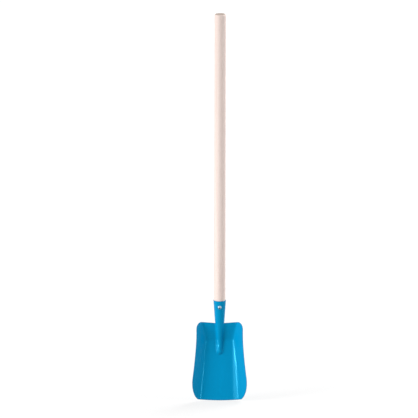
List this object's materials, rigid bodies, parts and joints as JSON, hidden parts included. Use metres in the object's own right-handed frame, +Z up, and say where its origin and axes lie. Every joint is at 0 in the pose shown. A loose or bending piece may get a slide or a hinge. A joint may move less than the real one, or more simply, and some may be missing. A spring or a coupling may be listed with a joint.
{
  "type": "sand shovel",
  "caption": "Child's sand shovel: pressed blue steel blade whose ridge runs up into a rolled conical socket, screwed to a long straight round wooden handle.",
  "frame": {"origin": "middle of the straight grip of the handle, on its axis", "axes": "+Z up the handle away from the blade, -Y the way the hollow of the blade faces, +X across the blade"},
  "size_m": [0.1062, 0.0504, 0.7582],
  "materials": {
    "blue_enamelled_steel": "glossy blue enamel on pressed steel sheet",
    "beech": "sanded pale beech, thin clear lacquer",
    "zinc_plated_steel": "bright zinc plating"
  },
  "bodies": {
    "root": {"blade": "blue_enamelled_steel", "handle": "beech", "screw": "zinc_plated_steel"}
  },
  "joints": []
}
